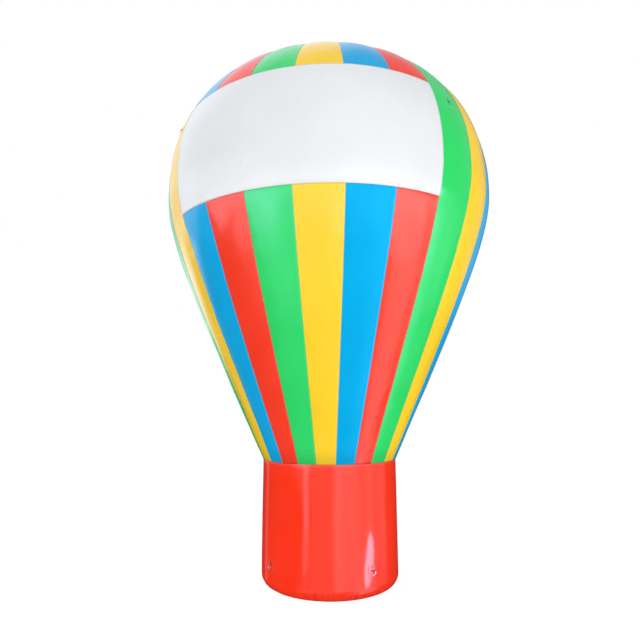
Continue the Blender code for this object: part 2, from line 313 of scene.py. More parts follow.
def gore_relief(angle, s):
    """Gores billow between their seams, and the seams pucker. The blank panel is plain."""
    width = radius_at(s) * GORE_ANGLE
    across = in_gores(angle)
    seam = np.round(across)
    x = across - np.floor(across)
    away = np.abs(across - seam) * width
    narrow = width / GORE_WIDTH
    billow = BILLOW * narrow * 4.0 * x * (1.0 - x) - SEAM_SINK * narrow
    beside = np.maximum(np.abs(across) - PANEL_GORES / 2.0, 0.0) * width
    beyond = np.maximum(np.maximum(PANEL_LOW - s, s - PANEL_HIGH), 0.0)
    off_panel = np.hypot(beside, beyond)
    shape = billow * ramp(off_panel, 0.0, 0.30) * ramp(s - NECK, 0.0, 0.40) * ramp(CROWN - s, 0.0, 0.30)
    pitch = noise(s / PUCKER_PITCH, seam * 3.7, 1) + 0.6 * noise(s / (0.55 * PUCKER_PITCH), seam * 1.9, 2)
    strong = 0.25 + 0.75 * ramp(noise(s / 0.35, seam * 5.3, 5), -0.3, 0.8)
    pucker = PUCKER * pitch * strong * np.exp(-away / PUCKER_REACH) * ramp(off_panel, -0.02, 0.05)
    swell = SWELL * (round_noise(angle, s / 0.50, 22, 7) + 0.4 * round_noise(angle, s / 0.21, 57, 8))
    swell = swell * ramp(s - NECK, 0.0, 0.3) * ramp(CROWN - s, 0.0, 0.3)
    swell = swell * (1.0 + UNDER_PANEL_SWELL * np.exp(-np.hypot(beside, PANEL_LOW - s) / 0.20))
    corner = np.hypot(beside - CORNER_PLACE, s - PANEL_LOW - CORNER_PLACE) / CORNER_REACH
    corner = CORNER_BULGE * np.exp(-(corner**2)) * (np.abs(across) > PANEL_GORES / 2.0)
    return shape + pucker + swell + corner


def panel_edge_relief(angle, s):
    """The welded edge of the blank panel lies in a shallow groove with small tucks across it."""
    r = radius_at(s)
    beside = (np.abs(in_gores(angle)) - PANEL_GORES / 2.0) * r * GORE_ANGLE
    beyond = np.maximum(PANEL_LOW - s, s - PANEL_HIGH)
    edge = np.abs(np.maximum(beside, beyond))
    level = beyond > beside
    tuck = np.where(level, noise(angle * r / 0.040, 0.5, 6), noise(s / 0.040, 0.5, 9))
    strong = ramp(np.where(level, noise(angle * r / 0.3, 1.5, 16), noise(s / 0.3, 1.5, 19)), -0.2, 0.7)
    return TUCK * tuck * strong * np.exp(-edge / 0.030) - PANEL_GROOVE * np.exp(-edge / 0.012)


def neck_relief(angle, s):
    """Upright puckers on both sides of the neck seam, which sinks a little."""
    away = np.abs(s - NECK)
    wave = round_noise(angle, 0.5, 58, 3) + 0.5 * round_noise(angle, 0.5, 145, 4)
    return NECK_PUCKER * wave * np.exp(-away / NECK_REACH) - NECK_SINK * np.exp(-away / 0.012)


def gathers(angle, s):
    """How deep the sharp upright gathers at the base's lower edge are, in three groups, from 0 to 1."""
    crease = (1.0 - np.abs(round_noise(angle, s / 1.6, 130, 11))) ** 9
    where = ramp(np.cos(3.0 * angle - math.radians(GATHER_TURN)), -0.35, 0.35)
    top = GATHER_HEIGHT + 0.035 * round_noise(angle, 0.5, 150, 17)
    return crease * where * ramp(s, 0.03, 0.06) * (1.0 - ramp(s, top, top + 0.045))


def base_relief(angle, s):
    """The base wall: a slow swell, faint upright folds and sharp gathers at its lower edge."""
    swell = BASE_SWELL * round_noise(angle, s / 0.6, 13, 13) + 0.001 * round_noise(angle, s / 1.2, 60, 14)
    swell = swell * ramp(s, 0.10, 0.30) * ramp(NECK - s, 0.05, 0.30)
    folds = BASE_FOLD * round_noise(angle, s / 0.5, 110, 12)
    folds = folds * ramp(s, 0.03, 0.06) * (1.0 - ramp(s, 0.08, 0.16))
    return swell + folds - GATHER * gathers(angle, s)


def relief(angle, s):
    """How far the film stands out from the plain outline."""
    total = np.where(s >= NECK, gore_relief(angle, s) + panel_edge_relief(angle, s), base_relief(angle, s))
    return total * flatness(angle, s) + neck_relief(angle, s)


def skin_points(angle, s, lift=0.0):
    """Points of the film at angles and arc lengths, with an extra lift outwards."""
    out = relief(angle, s) + lift
    nr, nz = outwards(s)
    r = radius_at(s) + nr * out
    z = np.interp(s, OUTLINE["s"], OUTLINE["z"]) + nz * out
    return np.stack([r * np.sin(angle), -r * np.cos(angle), np.maximum(z, 0.0)], axis=-1)


def skin_frame(degrees, z):
    """A frame on the plain outline, as in the CAD: X round the axis, Y up the slope, Z outwards."""
    turn = math.radians(degrees)
    s = arc_at(z)
    nr, nz = outwards(s)
    radial = Vector((math.sin(turn), -math.cos(turn), 0.0))
    round_axis = Vector((math.cos(turn), math.sin(turn), 0.0))
    out = radial * nr + Vector((0.0, 0.0, nz))
    spot = radial * float(radius_at(s)) + Vector((0.0, 0.0, z))
    up = out.cross(round_axis)
    return Matrix.Translation(spot) @ Matrix((round_axis, up, out)).transposed().to_4x4()


# Meshes


def round_turns(count):
    """So many angles, evenly spaced once round."""
    return np.arange(count) * math.tau / count


def grid_faces(rows, columns, closed_round=False):
    index = np.arange(rows * columns).reshape(rows, columns)
    left = index if closed_round else index[:, :-1]
    right = np.roll(index, -1, axis=1) if closed_round else index[:, 1:]
    return np.stack([left[:-1], right[:-1], right[1:], left[1:]], axis=-1).reshape(-1, 4).tolist()


def disc_faces(rows, columns):
    """Faces of rings of points, the last of them filled."""
    last = list(range((rows - 1) * columns, rows * columns))
    return [*grid_faces(rows, columns, closed_round=True), last]


def mesh_of(name, points, faces, **values):
    """A smooth mesh, with named values at its points for its material to read."""
    mesh = bpy.data.meshes.new(name)
    mesh.from_pydata(np.asarray(points, float).reshape(-1, 3).tolist(), [], faces)
    for key, value in values.items():
        layer = mesh.attributes.new(key, "FLOAT", "POINT")
        layer.data.foreach_set("value", np.ascontiguousarray(value, dtype=np.float32).reshape(-1))
    mesh.shade_smooth()
    mesh.validate()
    return mesh


def add_piece(name, mesh, materials, replaced=(), body=ROOT):
    """Puts a piece in the scene, on its body, with the nodes it stands for."""
    for material in materials:
        mesh.materials.append(material)
    piece = new_object(name, mesh)
    if replaced:
        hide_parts(*replaced)
    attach(piece, body)
    return piece


def add_film(name, points, faces, colour, node, **values):
    """A film that stands for one node, in the material of its colour."""
    material = BASE_FILM if colour == "base_red" else FILMS[colour]
    return add_piece(name, mesh_of(name, points, faces, **values), [material], [node])


def thicken(piece):
    solid = piece.modifiers.new("film", "SOLIDIFY")
    solid.thickness = FILM
    solid.offset = -1.0
    return piece


def declare_film(piece, s, width, *rests_on):
    """Works out the width of a film's flat cut at each arc length, and does nothing more with it."""
    width = width + 0.0 * s


class Build:
    """Points and faces of a piece made of many small forms, each with a material index."""

    def __init__(self):
        self.points, self.faces, self.kinds = [], [], []

    def add(self, points, faces, kind=0):
        start = len(self.points)
        self.points.extend(tuple(p) for p in points)
        self.faces.extend([start + i for i in face] for face in faces)
        self.kinds.extend([kind] * len(faces))

    def sweep(self, place, path, side, section, closed=False):
        """A section of (side, out) offsets carried along a path, in the frame of a place."""
        centres = [place @ Vector(point) for point in path]
        side = place.to_3x3() @ Vector(side)
        count, width = len(centres), len(section)
        points, faces = [], []
        for i, centre in enumerate(centres):
            before = centres[i - 1] if i or closed else centres[0]
            after = centres[(i + 1) % count] if i < count - 1 or closed else centres[-1]
            out = side.cross((after - before).normalized()).normalized()
            points += [centre + side * a + out * b for a, b in section]
        for i in range(count if closed else count - 1):
            j = (i + 1) % count
            for k in range(width):
                n = (k + 1) % width
                faces.append((i * width + k, j * width + k, j * width + n, i * width + n))
        if not closed:
            faces.append(list(range(width)))
            faces.append([(count - 1) * width + k for k in range(width - 1, -1, -1)])
        self.add(points, faces)

    def stitches(self, start, end, out, pitch, thick):
        """A line of short thread lozenges from start to end, lying on a surface that faces out."""
        count = max(1, round((end - start).length / pitch))
        along = (end - start) / count
        half = along * (STITCH_SHARE / 2.0)
        side = along.normalized().cross(out).normalized()
        for i in range(count):
            middle = start + along * (i + 0.5)
            ring = [middle + way * thick for way in (side, out, -side, -out)]
            faces = [(0, 2 + k, 2 + (k + 1) % 4) for k in range(4)]
            faces += [(1, 2 + (k + 1) % 4, 2 + k) for k in range(4)]
            self.add([middle - half, middle + half, *ring], faces, kind=1)

    def box(self, place, size, bevel):
        """A block with chamfered edges, centred on a frame."""
        corners = list(product((-1, 1), repeat=3))
        points, faces = [], []
        for signs, axis in product(corners, range(3)):
            inset = [0.0 if k == axis else bevel for k in range(3)]
            reach = [signs[k] * (size[k] / 2.0 - inset[k]) for k in range(3)]
            points.append(place @ Vector(reach))

        def at(pair, across, sign, axis):
            return corners.index((*pair[:across], sign, *pair[across:])) * 3 + axis

        for axis, sign in product(range(3), (-1, 1)):
            loop = [at(pair, axis, sign, axis) for pair in SQUARE]
            faces.append(loop[::-1] if (sign > 0) == (axis == 1) else loop)
        for axis, pair in product(range(3), SQUARE):
            one, two = [k for k in range(3) if k != axis]
            low, high = ([at(pair, axis, sign, k) for k in (one, two)] for sign in (-1, 1))
            faces.append((*low, *high[::-1]))
        faces += [tuple(3 * i + axis for axis in range(3)) for i in range(len(corners))]
        self.add(points, faces)

    def add_to_scene(self, name, materials, replaced=(), body=ROOT):
        mesh = bpy.data.meshes.new(name)
        mesh.from_pydata(self.points, [], self.faces)
        mesh.polygons.foreach_set("material_index", self.kinds)
        mesh.shade_smooth()
        mesh.set_sharp_from_angle(angle=math.radians(SHARP_ANGLE))
        add_piece(name, mesh, materials, replaced, body)


# Materials


class Nodes:
    """A short way to build the nodes of a new material or world."""

    def __init__(self, name, owners=bpy.data.materials, shader="Principled BSDF"):
        self.owner = owners.new(name)
        self.owner.use_nodes = True
        self.tree = self.owner.node_tree
        self.shader = self.tree.nodes[shader]

    def feed(self, socket, value):
        if isinstance(value, bpy.types.NodeSocket):
            self.tree.links.new(value, socket)
        else:
            socket.default_value = value

    def add(self, kind, inputs=(), **settings):
        node = self.tree.nodes.new(kind)
        for key, value in settings.items():
            setattr(node, key, value)
        for key, value in dict(inputs).items():
            self.feed(node.inputs[key], value)
        return node

    def set(self, **values):
        for key, value in values.items():
            self.feed(self.shader.inputs[key.replace("_", " ")], value)

    def value(self, name):
        return self.add("ShaderNodeAttribute", attribute_name=name).outputs["Fac"]

    def place(self):
        return self.add("ShaderNodeTexCoord").outputs["Object"]

    def noise(self, scale, detail=3.0):
        inputs = {"Vector": self.place(), "Scale": scale, "Detail": detail}
        return self.add("ShaderNodeTexNoise", inputs).outputs["Fac"]

    def math(self, operation, *values):
        return self.add("ShaderNodeMath", enumerate(values), operation=operation).outputs[0]

    def plus(self, one, two):
        return self.math("ADD", one, two)

    def times(self, one, two):
        return self.math("MULTIPLY", one, two)

    def ramp(self, value, low, high, at_low=0.0, at_high=1.0):
        inputs = {"Value": value, "From Min": low, "From Max": high, "To Min": at_low, "To Max": at_high}
        return self.add("ShaderNodeMapRange", inputs).outputs["Result"]

    def soft_ramp(self, value, low, high, at_low=0.0, at_high=1.0):
        made = self.ramp(value, low, high, at_low, at_high)
        made.node.interpolation_type = "SMOOTHSTEP"
        return made

    def mix(self, factor, first, second):
        made = self.add("ShaderNodeMix", data_type="RGBA")
        colours = [s for s in made.inputs if s.type == "RGBA"]
        self.feed(made.inputs["Factor"], factor)
        for socket, colour in zip(colours, (first, second)):
            self.feed(socket, (*colour, 1.0) if isinstance(colour, tuple) else colour)
        return next(s for s in made.outputs if s.type == "RGBA")

    def bump(self, height, distance, strength, under=None):
        inputs = {"Height": height, "Distance": distance, "Strength": strength}
        if under is not None:
            inputs["Normal"] = under
        return self.add("ShaderNodeBump", inputs).outputs["Normal"]


def shade(colour, factor):
    return tuple(min(1.0, part * factor) for part in colour)


def threads(nodes):
    """Two rows of stitches beside a hem: 1 on the thread, 0 off it."""
    hem, along = nodes.value("hem"), nodes.value("along")
    away = [nodes.math("ABSOLUTE", nodes.math("SUBTRACT", hem, row)) for row in STITCH_ROWS]
    row = nodes.ramp(nodes.math("MINIMUM", *away), 0.0005, 0.0009, 1.0, 0.0)
    dash = nodes.ramp(nodes.math("PINGPONG", along, STITCH_PITCH / 2.0), 0.0006, 0.001)
    return nodes.times(row, dash), hem


def film_material(name, colour, rough=0.23, dust_and_painted_shade=False):
    """Coated tarpaulin: glossy, a little cloudy, with the cloth's grid and the stitches showing; with
    painted shade above the neck, and on the base in its gathers' creases and along its lower edge.
    """
    nodes = Nodes(name)
    tint, edge_shade, gloss = FILM_LOOKS[colour]
    dark = shade(tint, 0.45)
    thread, hem = threads(nodes)
    cloud = nodes.noise(1.7, 4.0)
    body = nodes.mix(nodes.ramp(cloud, 0.3, 0.7), shade(tint, 0.96), shade(tint, 1.03))
    edge = 0.009 if dust_and_painted_shade else 0.004
    body = nodes.mix(nodes.ramp(hem, 0.0, edge, edge_shade, 0.0), body, dark)
    body = nodes.mix(nodes.times(thread, 0.6), body, tuple(0.35 + 0.6 * part for part in tint))
    rough = nodes.ramp(nodes.noise(3.5, 5.0), 0.3, 0.7, rough - 0.05, rough + 0.05)
    height = nodes.add("ShaderNodeSeparateXYZ", {"Vector": nodes.place()}).outputs["Z"]
    # The base film gets real dust near the floor, and painted shade in its gathers' creases and along its
    # lower edge; the other films get painted shade just above the neck.
    if not dust_and_painted_shade:
        # Painted shade: the gores darken just above the neck seam.
        body = nodes.mix(nodes.soft_ramp(height, NECK_Z, NECK_Z + 0.16, 0.30, 0.0), body, dark)
    else:
        # Painted shade: the fold value darkens the gathers' creases, and a thin line along a patch's edge.
        fold = nodes.value("fold")
        body = nodes.mix(nodes.times(fold, 0.80), body, shade(tint, 0.50))
        low = nodes.ramp(height, 0.0, 0.10, 1.0, 0.0)
        dust = nodes.times(low, nodes.ramp(nodes.noise(24.0, 6.0), 0.40, 0.75, 0.02, 0.12))
        body = nodes.mix(dust, body, (0.30, 0.17, 0.12))
        # Darker towards the bottom.
        body = nodes.mix(nodes.times(low, 0.30), body, dark)
        # Painted shade: a dark band where the wall meets the floor.
        body = nodes.mix(nodes.soft_ramp(height, 0.002, 0.022, 0.70, 0.0), body, shade(tint, 0.30))
        dull = nodes.plus(nodes.times(dust, 0.6), nodes.times(fold, 0.12))
        rough = nodes.plus(rough, dull)
    grid = {"Vector": nodes.place(), "Scale": 480.0}
    cloth = nodes.add("ShaderNodeTexVoronoi", grid, distance="CHEBYCHEV")
    normal = nodes.bump(nodes.noise(7.0), 0.006, 0.30)
    normal = nodes.bump(cloth.outputs["Distance"], 0.0002, 0.12, normal)
    nodes.set(Base_Color=body, Roughness=rough, Normal=nodes.bump(thread, 0.0005, 0.6, normal))
    nodes.set(IOR=1.48, Specular_Tint=(*gloss, 1.0))
    return nodes.owner


def webbing_material(name, colour):
    """Woven nylon strap: fine ribs across a soft, slightly fuzzy surface."""
    nodes = Nodes(name)
    ribs = {"Vector": nodes.place(), "Scale": 260.0, "Distortion": 1.5}
    ribs = nodes.times(nodes.add("ShaderNodeTexWave", ribs).outputs["Fac"], 0.7)
    cross = nodes.noise(900.0, 2.0)
    woven = nodes.plus(ribs, nodes.times(cross, 0.5))
    nodes.set(
        Base_Color=nodes.mix(woven, shade(colour, 0.7), shade(colour, 1.3)),
        Roughness=nodes.ramp(cross, 0.3, 0.7, 0.66, 0.80),
        Normal=nodes.bump(woven, 0.0004, 0.8),
        Sheen_Weight=0.25,
    )
    return nodes.owner


def thread_material(name, colour):
    nodes = Nodes(name)
    twist = nodes.noise(1500.0, 1.0)
    nodes.set(
        Base_Color=nodes.mix(twist, shade(colour, 0.8), shade(colour, 1.15)),
        Roughness=nodes.ramp(twist, 0.3, 0.7, 0.5, 0.65),
        Normal=nodes.bump(twist, 0.0002, 0.5),
    )
    return nodes.owner


def steel_material(name, colour, rough):
    """Galvanised steel: bright, faintly spangled, duller in patches."""
    nodes = Nodes(name)
    spangle = nodes.noise(160.0, 3.0)
    dull = nodes.noise(45.0, 4.0)
    nodes.set(
        Base_Color=nodes.mix(spangle, shade(colour, 0.85), shade(colour, 1.1)),
        Roughness=nodes.ramp(dull, 0.3, 0.7, rough - 0.07, rough + 0.12),
        Normal=nodes.bump(spangle, 0.0002, 0.35),
        Metallic=1.0,
    )
    return nodes.owner


def plastic_material(name, colour):
    nodes = Nodes(name)
    grain = nodes.noise(700.0, 3.0)
    nodes.set(
        Base_Color=nodes.mix(nodes.noise(30.0), shade(colour, 0.85), shade(colour, 1.2)),
        Roughness=nodes.ramp(grain, 0.3, 0.7, 0.37, 0.49),
        Normal=nodes.bump(grain, 0.0002, 0.4),
    )
    return nodes.owner


def zip_tape_material():
    """Black woven tape with its stitches."""
    nodes = Nodes("zip_tape")
    thread, _ = threads(nodes)
    weave = nodes.add("ShaderNodeTexWave", {"Vector": nodes.place(), "Scale": 330.0, "Distortion": 0.8})
    tone = nodes.mix(weave.outputs["Fac"], (0.016, 0.016, 0.018), (0.040, 0.040, 0.044))
    nodes.set(
        Base_Color=nodes.mix(nodes.times(thread, 0.8), tone, (0.30, 0.30, 0.30)),
        Roughness=nodes.ramp(nodes.noise(60.0), 0.3, 0.7, 0.62, 0.78),
        Normal=nodes.bump(nodes.plus(weave.outputs["Fac"], thread), 0.0004, 0.7),
    )
    return nodes.owner


FILMS = {colour: film_material(f"film_{colour}", colour) for colour in FILM_LOOKS}
BASE_FILM = film_material("film_base", "base_red", rough=0.15, dust_and_painted_shade=True)
BLACK_WEBBING = webbing_material("webbing_black", (0.022, 0.022, 0.025))
THREAD_WHITE = thread_material("thread_white", (0.72, 0.72, 0.70))
STEEL = steel_material("galvanised_steel", (0.66, 0.66, 0.64), 0.24)
ZIP_TAPE = zip_tape_material()
ZIP_METAL = steel_material("zip_metal", (0.50, 0.50, 0.51), 0.30)
ZIP_PLASTIC = plastic_material("zip_teeth", (0.018, 0.018, 0.020))


# Envelope


def film_columns(count=19, power=1.7):
    """Places from 0 to 1 across a gore, closer together at both seams."""
    t = np.linspace(-1.0, 1.0, count)
    return 0.5 + 0.5 * np.sign(t) * (1.0 - (1.0 - np.abs(t)) ** power)


def gore_film(node, colour, start, low, high, *rests_on):
    """One gore. Its right edge is hemmed over its neighbour's left edge, which runs on under it."""
    rows = max(8, round((high - low) / 0.016))
    s = np.linspace(low, high, rows + 1)[:, None]
    r = radius_at(s)
    columns = film_columns()[None, :]
    under = start * GORE_ANGLE - np.array([[0.75, 0.35]]) * HEM / r
    angle = np.concatenate([under, (start + columns) * GORE_ANGLE + 0.0 * s], axis=1)
    s = s + 0.0 * angle
    hem = ((start + 1) * GORE_ANGLE - angle) * r
    before = (angle - start * GORE_ANGLE) * r
    lift = HEM_LIFT * (1.0 - ramp(hem, HEM * 0.8, HEM * 1.4))
    points = skin_points(angle, s, lift - UNDER_SINK * (1.0 - ramp(before, -0.004, 0.003)))
    faces = grid_faces(*angle.shape)
    piece = add_film(f"film_{node}", points, faces, colour, node, hem=hem, along=s)
    thicken(piece)
    declare_film(piece, s[:, 0], r[:, 0] * GORE_ANGLE + HEM, *rests_on)


def panel_film():
    """The blank panel: one plain sheet over six gores, its hem lying on the gores round it."""
    half = PANEL_GORES / 2.0 * GORE_ANGLE
    low, high = PANEL_LOW - HEM * 0.5, PANEL_HIGH + HEM * 0.5
    s = np.linspace(low, high, 70)[:, None]
    r = radius_at(s)
    across = np.linspace(-1.0, 1.0, 141)[None, :]
    angle = across * (half + HEM * 0.5 / r)
    s = s + 0.0 * angle
    beside = (half - np.abs(angle)) * r + HEM * 0.5
    beyond = np.minimum(s - low, high - s)
    hem = np.minimum(beside, beyond)
    lift = 2.0 * HEM_LIFT * (1.0 - ramp(hem, HEM * 0.8, HEM * 1.8))
    along = np.where(beside < beyond, s, angle * r)
    points, faces = skin_points(angle, s, lift), grid_faces(*angle.shape)
    piece = add_film("film_panel_white", points, faces, "white", "panel_white", hem=hem, along=along)
    thicken(piece)
    width = 2.0 * half * r[:, 0] + HEM
    declare_film(piece, s[:, 0], width, "film_gore_24_yellow", "film_gore_07_green")


def crown_film():
    """The round cap welded over the ends of the gores."""
    reach = CROWN_RADIUS + HEM * 0.6
    s_at = np.interp(np.linspace(reach, 0.004, 16), OUTLINE["r"][::-1], OUTLINE["s"][::-1])
    angle, s = np.meshgrid(np.linspace(0.0, math.tau, 145)[:-1], s_at)
    hem = s - s_at[0]
    lift = CAP_LIFT - 0.0012 * ramp(hem, HEM, 2.5 * HEM) - 0.0022 * (1.0 - ramp(hem, 0.0, 0.002))
    values = {"hem": hem, "along": angle * CROWN_RADIUS}
    points, faces = skin_points(angle, s, lift), disc_faces(*angle.shape)
    piece = add_film("film_crown_cap", points, faces, "red", "crown_cap", **values)


def make_envelope():
    for index in range(FIRST_PANEL_GORE, FIRST_PANEL_GORE + GORES):
        colour = GORE_COLOURS[index % len(GORE_COLOURS)]
        number = index - FIRST_PANEL_GORE + 1
        if number <= PANEL_GORES:
            lower, upper = f"gore_{number:02d}_lower_{colour}", f"gore_{number:02d}_upper_{colour}"
            gore_film(lower, colour, index, NECK, PANEL_LOW, "film_base_wall", "film_panel_white")
            gore_film(upper, colour, index, PANEL_HIGH, CROWN, "film_panel_white", "film_crown_cap")
        else:
            whole = f"gore_{number:02d}_{colour}"
            gore_film(whole, colour, index, NECK, CROWN, "film_base_wall", "film_crown_cap")
    panel_film()
    crown_film()


make_envelope()


# Base


def base_wall_film():
    """The base wall, fine where its lower edge is gathered and coarser above."""
    fine, coarse, every = 1296, 432, 3
    low_rows = np.linspace(0.0, 0.20, 27)
    high_rows = np.linspace(0.20, NECK, 62)[1:]
    turn = round_turns(fine)
    low, high = np.meshgrid(turn, low_rows), np.meshgrid(turn[::every], high_rows)
    angle, s = (np.concatenate([a.ravel(), b.ravel()]) for a, b in zip(low, high))
    faces = grid_faces(len(low_rows), fine, closed_round=True)
    start = len(low_rows) * fine
    for i in range(coarse):
        bottom = [start - fine + (i * every + k) % fine for k in range(every + 1)]
        faces.append([*bottom, start + (i + 1) % coarse, start + i])
    upper = np.array(grid_faces(len(high_rows), coarse, closed_round=True)) + start
    faces += upper.tolist()
    # fold is the gathers' depth, which the base film also uses to paint shade into the creases.
    values = {"hem": NECK - s, "along": angle * NECK_RADIUS, "fold": gathers(angle, s)}
    piece = add_film("film_base_wall", skin_points(angle, s), faces, "base_red", "base_wall", **values)
    declare_film(piece, np.array([0.0, NECK]), math.tau * BASE_RADIUS, "film_base_floor")


def base_floor_film():
    """The film under the balloon, with shallow folds that run in from the gathered edge."""
    angle, share = np.meshgrid(round_turns(432), np.linspace(1.0, 0.01, 24))
    fold = FLOOR_FOLD * np.abs(round_noise(angle, 0.5, 60, 21))
    fold = fold * ramp(1.0 - share, 0.0, 0.1) * ramp(share, 0.3, 0.9)
    r = share * FLOOR_RADIUS
    points = np.stack([r * np.sin(angle), -r * np.cos(angle), fold], axis=-1)
    faces = [face[::-1] for face in disc_faces(*angle.shape)]
    values = {"hem": FAR_FROM_HEM + 0.0 * r, "along": angle}
    piece = add_film("film_base_floor", points, faces, "base_red", "base_floor", **values)


base_wall_film()
base_floor_film()


# Anchors


def rounded_reach(turn, half, rounding):
    """Distance from the middle of a rounded square to its edge, in a direction."""
    c, s = np.abs(np.cos(turn)), np.abs(np.sin(turn))
    straight = half / np.maximum(c, s)
    inner = half - rounding
    along = inner * (c + s)
    corner = along + np.sqrt(np.maximum(along**2 - 2.0 * inner**2 + rounding**2, 0.0))
    in_corner = np.minimum(c, s) * straight > inner
    return np.where(in_corner, corner, straight)


def patch_film(label, degrees, z, colour):
    """A welded patch: a rounded square of film with a pressed border, following the skin."""
    rings = np.array([1.0, 0.995, 0.975, 0.95, 0.91, 0.885, 0.86, 0.7, 0.5, 0.3, 0.1])
    turn, share = np.meshgrid(round_turns(96), rings)
    reach = rounded_reach(turn, PATCH_SIDE / 2.0, PATCH_ROUNDING)
    u, v = share * reach * np.cos(turn), share * reach * np.sin(turn)
    s = arc_at(z) + v
    angle = math.radians(degrees) + u / radius_at(s)
    hem = (1.0 - share) * reach
    pressed = PRESS_DEPTH * np.exp(-(((hem - PRESS_PLACE) / PRESS_REACH) ** 2))
    lift = PATCH_LIFT * ramp(hem, -0.0002, 0.003) - 0.0003 - pressed
    points, faces = skin_points(angle, s, lift), disc_faces(*angle.shape)
    # fold darkens a thin line along the patch's edge.
    values = {"hem": hem + 0.003, "along": turn * 0.055, "fold": 1.0 - ramp(hem, 0.002, 0.007)}
    piece = add_film(f"patch_{label}", points, faces, colour, f"anchor_patch_{label}", **values)


def strap_section(width, thick, corner):
    """The section of a strap as (side, out) offsets, corners cut."""
    a, b = width / 2.0, thick / 2.0
    half = [(a - corner, -b), (a, -b + corner), (a, b - corner), (a - corner, b)]
    return half + [(-x, y) for x, y in half[::-1]]


def arc(x, y, reach, start, end, steps):
    """Points of an arc round a middle, with its first and last angle in degrees."""
    turns = [math.radians(start + (end - start) * step / steps) for step in range(steps + 1)]
    return [(x + reach * math.cos(turn), y + reach * math.sin(turn)) for turn in turns]


def keeper(label, place, colour):
    """The keeper: a strap of film folded round the ring's bar, both ends sewn to the patch above it."""
    lower, upper = KEEPER_LEVELS
    hug = RING_WIRE + 0.0003 + KEEPER_THICK / 2.0
    path = [(KEEPER_TOP, lower), (0.024, lower), (0.012, lower + 0.0006), (0.006, 0.0052)]
    path += arc(0.0, BAR_HEIGHT, hug, -55.0, -305.0, 12)
    path += [(0.0065, 0.0105), (0.0105, 0.0072), (0.015, 0.0052), (0.020, upper)]
    path += [(0.030, upper), (KEEPER_TOP, upper)]
    path = [(0.0, v, n) for v, n in path]
    build = Build()
    build.sweep(place, path, (1.0, 0.0, 0.0), strap_section(KEEPER_WIDTH, KEEPER_THICK, 0.0004))
    out = place.to_3x3() @ Vector((0.0, 0.0, 1.0))
    level = upper + KEEPER_THICK / 2.0 + 0.0001
    half = KEEPER_SEAM / 2.0
    box = [place @ Vector((x * half, KEEPER_SEAM_Y + y * half, level)) for x, y in SQUARE]
    for first, second in ((0, 1), (1, 2), (2, 3), (3, 0), (0, 2), (1, 3)):
        build.stitches(box[first], box[second], out, 0.0036, 0.0004)
    build.add_to_scene(f"keeper_{label}", (FILMS[colour], THREAD_WHITE))


def ring(label, place):
    """A round steel wire bent to a D, its straight bar on the joint's axis and its bow below."""
    half, corner = RING_WIDTH / 2.0, RING_CORNER
    flat = arc(half - corner, -corner, corner, 90.0, 0.0, 8)
    flat += arc(0.0, -RING_STRAIGHT, half, 0.0, -180.0, 32)
    flat += arc(corner - half, -corner, corner, 180.0, 90.0, 8)
    flat += [(x, 0.0) for x in (-0.009, -0.004, 0.0, 0.004, 0.009)]
    seat = place @ Matrix.Translation((0.0, 0.0, BAR_HEIGHT))
    path = [(x, y, 0.0) for x, y in flat]
    build = Build()
    build.sweep(seat, path, (0.0, 0.0, 1.0), arc(0.0, 0.0, RING_WIRE, 0.0, 330.0, 11), closed=True)
    build.add_to_scene(f"d_ring_{label}", [STEEL], [f"anchor_ring_{label}"], f"ring_{label}")


for label, degrees, z, colour in ANCHORS:
    place = skin_frame(degrees, z)
    patch_film(label, degrees, z, colour)
    keeper(label, place, colour)
    ring(label, place)


# Air inlet


INLET_TURNS = round_turns(160)


def inlet_point(turn, reach, y):
    return np.stack([reach * np.sin(turn), y + 0.0 * turn, INLET_Z + reach * np.cos(turn)], axis=-1)


def wall_y(turn, reach, lift):
    """Depth of the base wall behind a point round the inlet."""
    x, z = reach * np.sin(turn), INLET_Z + reach * np.cos(turn)
    r = np.interp(z, OUTLINE["z"], OUTLINE["r"])
    return np.sqrt((r + lift) ** 2 - x**2)


def inlet_sleeve():
    """The open sleeve that the blower's nozzle goes into: limp film that creases round its length."""
    turn, step = np.meshgrid(INLET_TURNS, np.linspace(0.0, 1.0, 56))
    start = wall_y(turn, SLEEVE_RADIUS, -0.004)
    y = start + (SLEEVE_END_Y - start) * step
    along = y - BASE_RADIUS
    pleat = PLEAT * round_noise(turn, 0.5, 34, 31) * np.exp(-np.abs(along) / 0.05)
    crease = CREASE * round_noise(turn, y / 0.055, 7, 32) + 0.0018 * round_noise(turn, y / 0.028, 15, 33)
    crease = crease * ramp(along, 0.02, 0.10) * ramp(SLEEVE_END_Y - y, 0.0, 0.06)
    reach = SLEEVE_RADIUS - 0.003 + pleat + crease
    points = inlet_point(turn, reach, y)
    faces = [face[::-1] for face in grid_faces(*turn.shape, closed_round=True)]
    values = {"hem": FAR_FROM_HEM + 0.0 * y, "along": y}
    piece = add_film("film_inlet_sleeve", points, faces, "base_red", "inlet_sleeve", **values)
    thicken(piece)
    ends = np.array([BASE_RADIUS, SLEEVE_END_Y])
    declare_film(piece, ends, math.tau * SLEEVE_RADIUS, "film_inlet_collar")


def inlet_collar():
    """The ring of film welded to the base wall round the sleeve."""
    inwards = np.array([0.0, 0.001, 0.004, 0.009, 0.017, 0.025, 0.033, 0.040, 0.0475])
    turn, hem = np.meshgrid(INLET_TURNS, inwards)
    reach = COLLAR_RADIUS - hem
    lift = 0.0022 * ramp(hem, -0.0002, 0.0012) - 0.0003 + 0.004 * (1.0 - ramp(reach, 0.148, 0.158))
    points = inlet_point(turn, reach, wall_y(turn, reach, lift))
    faces = grid_faces(*turn.shape, closed_round=True)
    values = {"hem": hem + 0.002, "along": turn * reach}
    piece = add_film("film_inlet_collar", points, faces, "base_red", "inlet_collar", **values)


